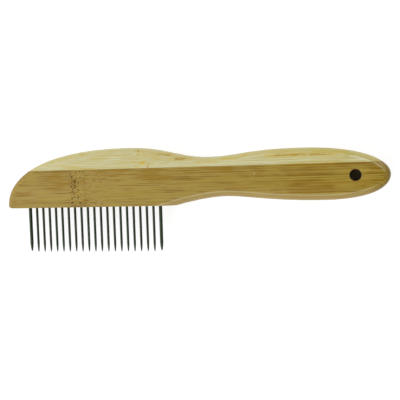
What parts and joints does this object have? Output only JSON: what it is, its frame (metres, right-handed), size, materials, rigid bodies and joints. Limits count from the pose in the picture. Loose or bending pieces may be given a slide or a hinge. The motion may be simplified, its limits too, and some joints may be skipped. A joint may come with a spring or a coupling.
{
  "type": "grooming comb",
  "caption": "Hand comb for pet grooming: a curved two-tone bamboo handle with a hanging hole and a row of long steel pins that turn freely.",
  "frame": {"origin": "middle of the comb's footprint, on the back face that it lies on", "axes": "+X along the comb towards the tip of the handle, -Y the way the pins point, +Z from the back face to the front face"},
  "size_m": [0.2208, 0.0602, 0.015],
  "materials": {
    "dark_bamboo": "carbonised bamboo under a thin satin lacquer",
    "pale_bamboo": "natural bamboo under a thin satin lacquer",
    "rail_nylon": "moulded nylon, matt",
    "pin_steel": "dark drawn and ground steel wire, satin"
  },
  "bodies": {
    "handle": {"dark_bamboo_body": "dark_bamboo", "pale_bamboo_strip": "pale_bamboo", "pin_rail": "rail_nylon", "rail_cap": "rail_nylon"},
    "pin_01": {"pin_01": "pin_steel"},
    "pin_02": {"pin_02": "pin_steel"},
    "pin_03": {"pin_03": "pin_steel"},
    "pin_04": {"pin_04": "pin_steel"},
    "pin_05": {"pin_05": "pin_steel"},
    "pin_06": {"pin_06": "pin_steel"},
    "pin_07": {"pin_07": "pin_steel"},
    "pin_08": {"pin_08": "pin_steel"},
    "pin_09": {"pin_09": "pin_steel"},
    "pin_10": {"pin_10": "pin_steel"},
    "pin_11": {"pin_11": "pin_steel"},
    "pin_12": {"pin_12": "pin_steel"},
    "pin_13": {"pin_13": "pin_steel"},
    "pin_14": {"pin_14": "pin_steel"},
    "pin_15": {"pin_15": "pin_steel"},
    "pin_16": {"pin_16": "pin_steel"},
    "pin_17": {"pin_17": "pin_steel"},
    "pin_18": {"pin_18": "pin_steel"},
    "pin_19": {"pin_19": "pin_steel"},
    "pin_20": {"pin_20": "pin_steel"},
    "pin_21": {"pin_21": "pin_steel"}
  },
  "joints": [
    {"name": "pin_01_spin", "type": "hinge", "parent": "handle", "child": "pin_01", "pos_m": [-0.0986, -0.0033, 0.0075], "axis": [0, -1, 0], "continuous": true},
    {"name": "pin_02_spin", "type": "hinge", "parent": "handle", "child": "pin_02", "pos_m": [-0.0944, -0.0033, 0.0075], "axis": [0, -1, 0], "continuous": true},
    {"name": "pin_03_spin", "type": "hinge", "parent": "handle", "child": "pin_03", "pos_m": [-0.0904, -0.0033, 0.0075], "axis": [0, -1, 0], "continuous": true},
    {"name": "pin_04_spin", "type": "hinge", "parent": "handle", "child": "pin_04", "pos_m": [-0.0864, -0.0033, 0.0075], "axis": [0, -1, 0], "continuous": true},
    {"name": "pin_05_spin", "type": "hinge", "parent": "handle", "child": "pin_05", "pos_m": [-0.0824, -0.0033, 0.0075], "axis": [0, -1, 0], "continuous": true},
    {"name": "pin_06_spin", "type": "hinge", "parent": "handle", "child": "pin_06", "pos_m": [-0.0784, -0.0033, 0.0075], "axis": [0, -1, 0], "continuous": true},
    {"name": "pin_07_spin", "type": "hinge", "parent": "handle", "child": "pin_07", "pos_m": [-0.0744, -0.0033, 0.0075], "axis": [0, -1, 0], "continuous": true},
    {"name": "pin_08_spin", "type": "hinge", "parent": "handle", "child": "pin_08", "pos_m": [-0.0704, -0.0033, 0.0075], "axis": [0, -1, 0], "continuous": true},
    {"name": "pin_09_spin", "type": "hinge", "parent": "handle", "child": "pin_09", "pos_m": [-0.0664, -0.0033, 0.0075], "axis": [0, -1, 0], "continuous": true},
    {"name": "pin_10_spin", "type": "hinge", "parent": "handle", "child": "pin_10", "pos_m": [-0.0624, -0.0033, 0.0075], "axis": [0, -1, 0], "continuous": true},
    {"name": "pin_11_spin", "type": "hinge", "parent": "handle", "child": "pin_11", "pos_m": [-0.0584, -0.0033, 0.0075], "axis": [0, -1, 0], "continuous": true},
    {"name": "pin_12_spin", "type": "hinge", "parent": "handle", "child": "pin_12", "pos_m": [-0.0544, -0.0033, 0.0075], "axis": [0, -1, 0], "continuous": true},
    {"name": "pin_13_spin", "type": "hinge", "parent": "handle", "child": "pin_13", "pos_m": [-0.0504, -0.0033, 0.0075], "axis": [0, -1, 0], "continuous": true},
    {"name": "pin_14_spin", "type": "hinge", "parent": "handle", "child": "pin_14", "pos_m": [-0.0464, -0.0033, 0.0075], "axis": [0, -1, 0], "continuous": true},
    {"name": "pin_15_spin", "type": "hinge", "parent": "handle", "child": "pin_15", "pos_m": [-0.0424, -0.0033, 0.0075], "axis": [0, -1, 0], "continuous": true},
    {"name": "pin_16_spin", "type": "hinge", "parent": "handle", "child": "pin_16", "pos_m": [-0.0384, -0.0033, 0.0075], "axis": [0, -1, 0], "continuous": true},
    {"name": "pin_17_spin", "type": "hinge", "parent": "handle", "child": "pin_17", "pos_m": [-0.0344, -0.0033, 0.0075], "axis": [0, -1, 0], "continuous": true},
    {"name": "pin_18_spin", "type": "hinge", "parent": "handle", "child": "pin_18", "pos_m": [-0.0304, -0.0033, 0.0075], "axis": [0, -1, 0], "continuous": true},
    {"name": "pin_19_spin", "type": "hinge", "parent": "handle", "child": "pin_19", "pos_m": [-0.0264, -0.0033, 0.0075], "axis": [0, -1, 0], "continuous": true},
    {"name": "pin_20_spin", "type": "hinge", "parent": "handle", "child": "pin_20", "pos_m": [-0.0224, -0.0033, 0.0075], "axis": [0, -1, 0], "continuous": true},
    {"name": "pin_21_spin", "type": "hinge", "parent": "handle", "child": "pin_21", "pos_m": [-0.0182, -0.0033, 0.0075], "axis": [0, -1, 0], "continuous": true}
  ]
}
